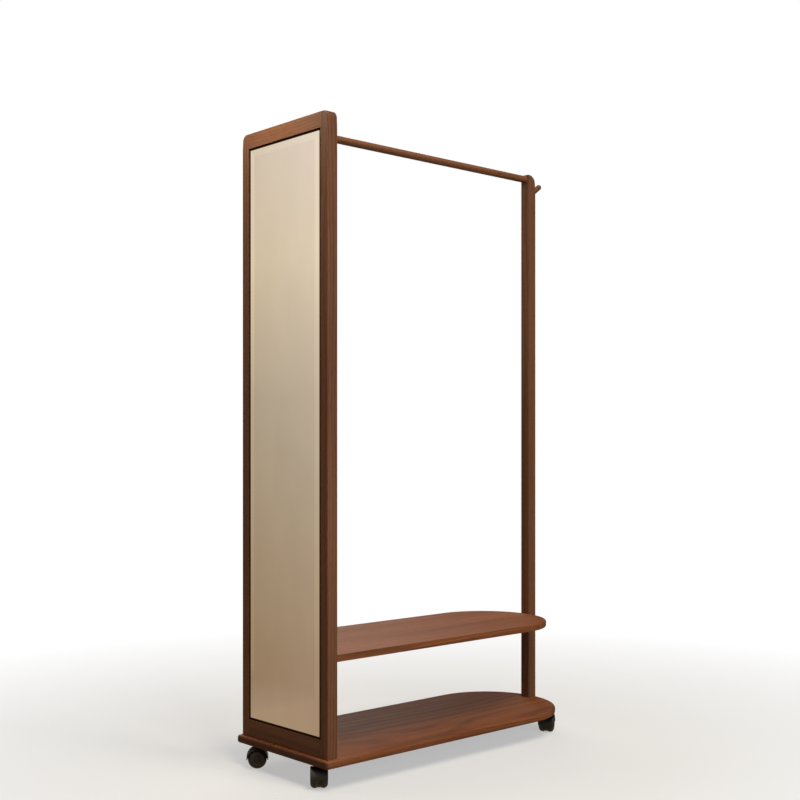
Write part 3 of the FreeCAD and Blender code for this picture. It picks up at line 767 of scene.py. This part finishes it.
# Casters: hood and wheels modelled once, in the caster's own frame, and set down at each corner
caster = {
    "trail": 0.013,
    "gap": 0.011,
    "wheelRadius": 0.025,
    "wheelWidth": 0.017,
    "wheelSteps": 64,
    "edge": 0.0015,
    "edgeChamfer": 0.0005,
    "groove": 0.0038,
    "grooveHalf": 0.0007,
    "grooveBedHalf": 0.0003,
    "grooveDepth": 0.0012,
    "shoulder": 0.0115,
    "shoulderSteps": 10,
    "rim": 0.012,
    "dish": 0.002,
    "dishSlope": 0.0016,
    "lip": 0.0006,
    "lipDrop": 0.0004,
    "hubRadius": 0.006,
    "dimpleRadius": 0.0036,
    "dimpleBed": 0.0028,
    "dimpleDepth": 0.0008,
    "boreRadius": 0.0031,
    "boreDepth": 0.013,
    "webHalf": 0.0053,
    "coreRadius": 0.0232,
    "coreSteps": 56,
    "hoodInside": 0.0265,
    "hoodOutside": 0.029,
    "hoodRound": 0.002,
    "hoodSteps": 40,
    "neckRadius": 0.010,
    "neckSides": 48,
    "neckRound": 0.0015,
    "neckSteps": 3,
    "neckTop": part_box("front_left_caster_hood")[1].z,
}
hub = Vector((caster["trail"], 0, caster["wheelRadius"]))


def outline(pairs):
    # pairs of how far out from the axle's middle and how far from the axle
    return [hub + Vector((radius, across, 0)) for across, radius in pairs]


def buildHood():
    size = caster
    web, wide = size["webHalf"], size["wheelWidth"] + size["gap"] / 2
    inside, outside, soft = size["hoodInside"], size["hoodOutside"], size["hoodRound"]
    third = soft / 3
    half = [(web, 0), (web, inside), (wide, inside)]
    half += [(wide, outside - soft), (wide - third, outside - third), (wide - soft, outside)]
    pairs = half + [(-across, radius) for across, radius in reversed(half)] + [half[0]]
    hood = spinProfile("hood", outline(pairs), hub, size["hoodSteps"], halfTurn, filled=True)
    core = size["coreRadius"]
    points = outline([(web, 0), (web, core), (-web, core), (-web, 0)])
    combine(hood, spinProfile("core", points, hub, size["coreSteps"], fullTurn), "UNION")

    root, top = hub.z + core, size["neckTop"]
    middle = (0, 0, (top + root) / 2)
    neck = addRod("neck", size["neckSides"], size["neckRadius"], top - root, middle)
    roundEdges(neck, size["neckRound"], size["neckSteps"], lambda spot: near(spot.z, top))
    combine(hood, neck, "UNION")
    openMesh(hood)
    mergeDoubles()
    bpy.ops.mesh.select_all(action="SELECT")
    bpy.ops.mesh.dissolve_degenerate(threshold=rounding)
    closeMesh()
    return hood


def buildWheel(side):
    size = caster
    tyre, wide, bore = size["wheelRadius"], size["wheelWidth"], size["boreRadius"]
    edge, chamfer = size["edge"], size["edgeChamfer"]
    pairs = [(0, bore), (0, tyre - edge), (chamfer, tyre - chamfer), (edge, tyre)]
    middle, bed = size["groove"], tyre - size["grooveDepth"]
    half, bedHalf = size["grooveHalf"], size["grooveBedHalf"]
    pairs += [(middle - half, tyre), (middle - bedHalf, bed)]
    pairs += [(middle + bedHalf, bed), (middle + half, tyre)]
    soft = size["shoulder"]
    for step in range(size["shoulderSteps"] + 1):
        turn = quarterTurn * step / size["shoulderSteps"]
        pairs.append((wide - soft + soft * math.sin(turn), tyre - soft + soft * math.cos(turn)))

    # the outer face: a rim, a shallow dish, a hub and a dimple in it
    rim, hubRim, dish = tyre - size["rim"], size["hubRadius"], wide - size["dish"]
    lip, drop, slope = size["lip"], wide - size["lipDrop"], size["dishSlope"]
    dimple = wide - size["dimpleDepth"]
    pairs += [(wide, rim + lip), (drop, rim), (dish, rim - slope), (dish, hubRim + slope)]
    pairs += [(drop, hubRim), (wide, hubRim - lip), (wide, size["dimpleRadius"])]
    pairs += [(dimple, size["dimpleBed"]), (dimple, 0)]
    pairs += [(size["boreDepth"], 0), (size["boreDepth"], bore), (0, bore)]
    inside = size["gap"] / 2
    points = outline([(side * (inside + across), radius) for across, radius in pairs])
    return spinProfile("wheel", points, hub, size["wheelSteps"], fullTurn)


# Moulded plastics, with a fine stipple, and plated or cast metals, with fine lines
plastics = {
    "hood": {"tone": (16, 18, 18), "rubbed": (50, 51, 50), "roughness": 0.42, "dust": 0.05},
    "wheel": {"tone": (31, 33, 32), "rubbed": (90, 90, 87), "roughness": 0.5, "dust": 0.16},
    "cap": {"tone": (74, 42, 28), "rubbed": (110, 74, 52), "roughness": 0.5, "dust": 0.05},
    "foam": {"tone": (226, 224, 220), "rubbed": (236, 234, 230), "roughness": 0.9, "dust": 0},
}
stipple = {
    "stretch": (2600, 2600, 2600),
    "detail": 2,
    "levels": (0.3, 0.7),
    "smoother": 0.06,
    "rougher": 0.08,
    "rubRadius": 0.001,
    "depth": 0.00008,
    "strength": 0.3,
}
metals = {
    "steel": {"tone": (178, 178, 182), "dark": (120, 120, 126), "roughness": 0.3},
    "zinc": {"tone": (164, 164, 164), "dark": (118, 118, 120), "roughness": 0.45},
}
bloom = {"stretch": (90, 90, 90), "detail": 4, "levels": (0.35, 0.7)}
lines = {
    "stretch": (2400, 2400, 160),
    "detail": 2,
    "levels": (0.3, 0.7),
    "smoother": 0.08,
    "rougher": 0.12,
    "depth": 0.00005,
    "strength": 0.2,
}


def finishSurface(tree, shader, place, tone, roughness, relief):
    fine = noise(tree, place, relief)
    limits = (roughness - relief["smoother"], roughness + relief["rougher"])
    rough = spread(tree, fine, *relief["levels"], limits)
    joinShader(tree, shader, Base_Color=tone, Roughness=rough)
    joinRelief(tree, shader, fine, relief)


def makePlastic(name, look):
    material, tree, shader, place = startMaterial(name)
    wearAndHighlight = useGroup(tree, wearAndHighlightGroup, {"Vector": place, "Radius": stipple["rubRadius"]})
    film = useGroup(tree, filmGroup, {"Vector": place, "Amount": look["dust"]})
    tone = mixColours(tree, wearAndHighlight["Rub"], colour(*look["tone"]), colour(*look["rubbed"]))
    tone = mixColours(tree, film["Film"], tone, walnut["dust"])
    finishSurface(tree, shader, place, tone, look["roughness"], stipple)
    return material


def makeMetal(name, look):
    material, tree, shader, place = startMaterial(name, Metallic=1)
    dull = patches(tree, place, bloom)
    tone = mixColours(tree, dull, colour(*look["tone"]), colour(*look["dark"]))
    finishSurface(tree, shader, place, tone, look["roughness"], lines)
    return material


# Mirror glass: silvered on its faces; its ground-off edges and a band round its rim are painted
# dark, as painted shade of the gap round the pane
pane = {
    "silver": colour(247, 246, 243),
    "smeared": colour(242, 241, 238),
    "edge": colour(34, 22, 16),
    "smears": {"stretch": (3, 11, 5), "detail": 4, "levels": (0.4, 0.75)},
    "roughness": (0, 0.02),
    "faceLevels": (0.2, 0.6),
    "shadedRim": 0.0018,
    "rimShadeFade": 0.0001,
}


def makeMirror():
    material, tree, shader, place = startMaterial("silveredGlass", Metallic=1)
    smear = patches(tree, place, pane["smears"])
    tone = mixColours(tree, smear, pane["silver"], pane["smeared"])
    rough = spread(tree, smear, 0, 1, pane["roughness"])
    # painted shade: the edge faces and a band round the rim take the dark edge tone
    across = split(tree, addNode(tree, "NewGeometry").outputs["Normal"])["X"]
    faceOn = spread(tree, calculate(tree, "ABSOLUTE", across), *pane["faceLevels"])
    inset = useGroup(tree, openingGroup, {"Vector": place})["Inset"]
    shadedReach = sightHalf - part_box("mirror_glass")[1].y + pane["shadedRim"]
    clear = spread(tree, inset, shadedReach - pane["rimShadeFade"], shadedReach + pane["rimShadeFade"])
    silvered = calculate(tree, "MULTIPLY", faceOn, clear)
    tone = mixColours(tree, silvered, pane["edge"], tone)
    joinShader(tree, shader, Base_Color=tone, Roughness=rough)
    return material


# What the CAD nodes that stay wear: by their own name, or else by their material slot
pegTilt = math.radians(36)
alongPeg = (0, pegTilt - quarterTurn, 0)
nodeFinishes = {
    "coat_peg": makeTimber("shadedPegWalnut", alongPeg, (0.33, 0.17, 0.5), shadedPegWalnut),
    "hanging_rail": makeTimber("railWalnut", alongX, (0.5, 0.21, 0.7), railWalnut),
    "shelf_dowels": makeTimber("shelfDowelBeech", alongX, (0.1, 0.2, 0.3), beech),
}
slotFinishes = {
    "steel": makeMetal("zincPlatedSteel", metals["steel"]),
    "zinc": makeMetal("castZinc", metals["zinc"]),
    "mirror": makeMirror(),
    "foam": makePlastic("foamSheet", plastics["foam"]),
    "brown_plastic": makePlastic("capPlastic", plastics["cap"]),
    "panel_wood": makeTimber("panelWalnut", alongZ, (0.15, 0.6, 0.3), panelWalnut),
    "dowel_wood": makeTimber("dowelBeech", alongY, (0.3, 0.2, 0.1), beech),
}
for entry in frame["record"]["subparts"]:
    node = entry["node"]
    material = nodeFinishes.get(node) or slotFinishes.get(entry["material_slot"])
    if material:
        nodes[node].data.materials.clear()
        nodes[node].data.materials.append(material)
print("finishes ready")

hoodPlastic = makePlastic("hoodPlastic", plastics["hood"])
wheelPlastic = makePlastic("wheelPlastic", plastics["wheel"])
master = {"caster_hood": buildHood(), "wheel_a": buildWheel(-1), "wheel_b": buildWheel(1)}
for piece in master.values():
    shadeSmoothly(piece)
pivots = {joint["name"]: Vector(joint["pos_m"]) for joint in frame["joints"]}
for corner in ("front_left", "back_left", "front_right", "back_right"):
    pivot, axle = pivots[corner + "_swivel"], pivots[corner + "_wheel_a_roll"]
    turn = math.atan2(axle.y - pivot.y, axle.x - pivot.x)
    place = Matrix.Translation((pivot.x, pivot.y, 0)) @ Matrix.Rotation(turn, 4, "Z")
    for part, original in master.items():
        node = f"{corner}_{part}"
        piece = original.copy()
        piece.data = original.data.copy()
        piece.data.transform(place)
        piece.name = piece.data.name = node + "_moulded"
        scene.collection.objects.link(piece)
        if part == "caster_hood":
            dress(piece, corner + "_caster", hoodPlastic, node)
        else:
            dress(piece, node, wheelPlastic, node)
for original in master.values():
    bpy.data.objects.remove(original)
print("casters built")


# Studio: a pale floor, a wall that only the pane and the gloss can see, lamps and the camera.
# Wall tones go upwards from the floor and side tints towards the back.
studio = {
    "floorSize": 60,
    "floorTone": (0.86, 0.86, 0.86, 1),
    "floorFade": (0.7, 2.2),
    "floorGlow": 0.45,
    "floorBounce": (0.25, 0.23, 0.21, 1),
    "wallSize": 12,
    "wallMiddle": 3,
    "wallGap": 0.75,
    "wallTones": (
        (0, colour(161, 136, 110)),
        (0.11, colour(162, 138, 112)),
        (0.43, colour(171, 151, 126)),
        (1.03, colour(187, 172, 152)),
        (1.54, colour(223, 206, 181)),
        (1.95, colour(225, 210, 193)),
        (2.02, colour(232, 218, 200)),
    ),
    "wallTop": 2.2,
    "sideTints": (
        (0.66, white),
        (0.76, (0.93, 0.93, 0.95, 1)),
        (1.22, (0.79, 0.77, 0.73, 1)),
        (1.42, (0.9, 0.87, 0.81, 1)),
    ),
    "sideEnd": 1.6,
    "roomGlow": 1.17,
    "ambient": (0.068, 0.063, 0.057, 1),
    "glossTone": colour(78, 60, 50),
}


def addPlane(name, size, location, rotation=(0, 0, 0)):
    deselectAll()
    bpy.ops.mesh.primitive_plane_add(size=size, location=location, rotation=rotation)
    piece = nameNew(name)
    return piece


def startStage(name):
    material = bpy.data.materials.new(name)
    material.use_nodes = True
    tree = material.node_tree
    tree.nodes.remove(tree.nodes["Principled BSDF"])
    light = addNode(tree, "LightPath").outputs
    place = addNode(tree, "TexCoord").outputs["Object"]
    return material, tree, light, place, tree.nodes["Material Output"].inputs["Surface"]


def mixShaders(tree, factor, first, second):
    return addNode(tree, "MixShader", {0: factor, 1: first, 2: second}).outputs[0]


def addRamp(tree, value, end, stops):
    # stops are places along the way to the end, each with its colour
    made = addNode(tree, "ValToRGB", {"Fac": spread(tree, value, 0, end)})
    elements = made.color_ramp.elements
    for index, (level, shade) in enumerate(stops):
        stop = elements[index] if index < 2 else elements.new(1)
        stop.position, stop.color = level / end, shade
    return made.outputs["Color"]


def glowAsRoom(tree, place):
    # what the pane mirrors: paler upwards and where only its bevels look, cooler to one side
    spot = split(tree, place)
    rise = addRamp(tree, spot["Z"], studio["wallTop"], studio["wallTones"])
    side = addRamp(tree, spot["Y"], studio["sideEnd"], studio["sideTints"])
    tone = mixColours(tree, 1, rise, side, "MULTIPLY")
    return addNode(tree, "Emission", {"Color": tone, "Strength": studio["roomGlow"]}).outputs[0]


# To the camera the floor fades to white away from the stand, to the gloss it is the room, and
# to all else it is dim
floor = addPlane("floor", studio["floorSize"], (0, 0, 0))
material, tree, light, place, surface = startStage("paleFloor")
seen = addNode(tree, "BsdfDiffuse", {"Color": studio["floorTone"]}).outputs[0]
blank = addNode(tree, "Emission", {"Color": white, "Strength": 1}).outputs[0]
away = measure(tree, "LENGTH", place)
away = spread(tree, away, *studio["floorFade"], (studio["floorGlow"], 1))
faded = mixShaders(tree, away, seen, blank)
dim = addNode(tree, "BsdfDiffuse", {"Color": studio["floorBounce"]}).outputs[0]
shown = mixShaders(tree, light["Is Camera Ray"], dim, faded)
shown = mixShaders(tree, light["Is Glossy Ray"], shown, glowAsRoom(tree, place))
tree.links.new(shown, surface)
floor.data.materials.append(material)

wallPlace = (frameFace - studio["wallGap"], 0, studio["wallMiddle"])
wall = addPlane("reflectedWall", studio["wallSize"], wallPlace, (0, quarterTurn, 0))
material, tree, light, place, surface = startStage("reflectedWall")
clear = addNode(tree, "BsdfTransparent").outputs[0]
shown = mixShaders(tree, light["Is Glossy Ray"], clear, glowAsRoom(tree, place))
tree.links.new(shown, surface)
wall.data.materials.append(material)

world = bpy.data.worlds.new("studio")
scene.world = world
world.use_nodes = True
tree = world.node_tree
light = addNode(tree, "LightPath").outputs
tone = mixColours(tree, light["Is Glossy Ray"], studio["ambient"], studio["glossTone"])
tone = mixColours(tree, light["Is Camera Ray"], tone, white)
tree.links.new(tone, tree.nodes["Background"].inputs["Color"])

lamps = {
    "key": {
        "at": (-0.5, -2.5, 4.3),
        "to": (0, 0, 0.5),
        "size": 2.2,
        "power": 145,
        "tone": (1, 0.88, 0.73),
    },
    "front": {
        "at": (-0.1, -3.6, 1.3),
        "to": (0, 0, 1.0),
        "size": 1.6,
        "power": 29,
        "tone": (0.66, 0.93, 1),
    },
    "ceiling": {
        "at": (-0.67, 0.04, 1.93),
        "to": (-0.51, 0.05, 1.66),
        "size": 0.2,
        "power": 2.1,
        "tone": (1, 0.95, 0.78),
    },
    "back": {
        "at": (1.2, 2.6, 2.6),
        "to": (0, 0, 0.9),
        "size": 2.4,
        "power": 40,
        "tone": (1, 0.94, 0.86),
    },
}
for name, lamp in lamps.items():
    deselectAll()
    bpy.ops.object.light_add(type="AREA", location=lamp["at"])
    made = bpy.context.object
    made.name = name
    aim = Vector(lamp["to"]) - Vector(lamp["at"])
    made.rotation_euler = aim.to_track_quat("-Z", "Y").to_euler()
    made.data.size = lamp["size"]
    made.data.energy = lamp["power"]
    made.data.color = lamp["tone"]

# The camera stands level. Its place is measured from the lowest front corner of the mirror's
# face, and its lens and horizon are in the picture's own pixels.
camera = {
    "fromCorner": Vector((-1.8955, -2.3673, 0.793)),
    "heading": math.radians(-42.083),
    "pictureSide": 800,
    "focalPixels": 1219.84,
    "horizonRow": 441.43,
    "sensor": 36,
}
deselectAll()
bpy.ops.object.camera_add(
    location=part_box("front_stile")[0] + camera["fromCorner"],
    rotation=(quarterTurn, 0, camera["heading"]),
)
eye = bpy.context.object
eye.data.sensor_width = camera["sensor"]
eye.data.lens = camera["focalPixels"] / camera["pictureSide"] * camera["sensor"]
eye.data.shift_y = (camera["horizonRow"] - camera["pictureSide"] / 2) / camera["pictureSide"]
scene.camera = eye
scene.view_settings.view_transform = "Standard"
print("studio ready")

deselectAll()
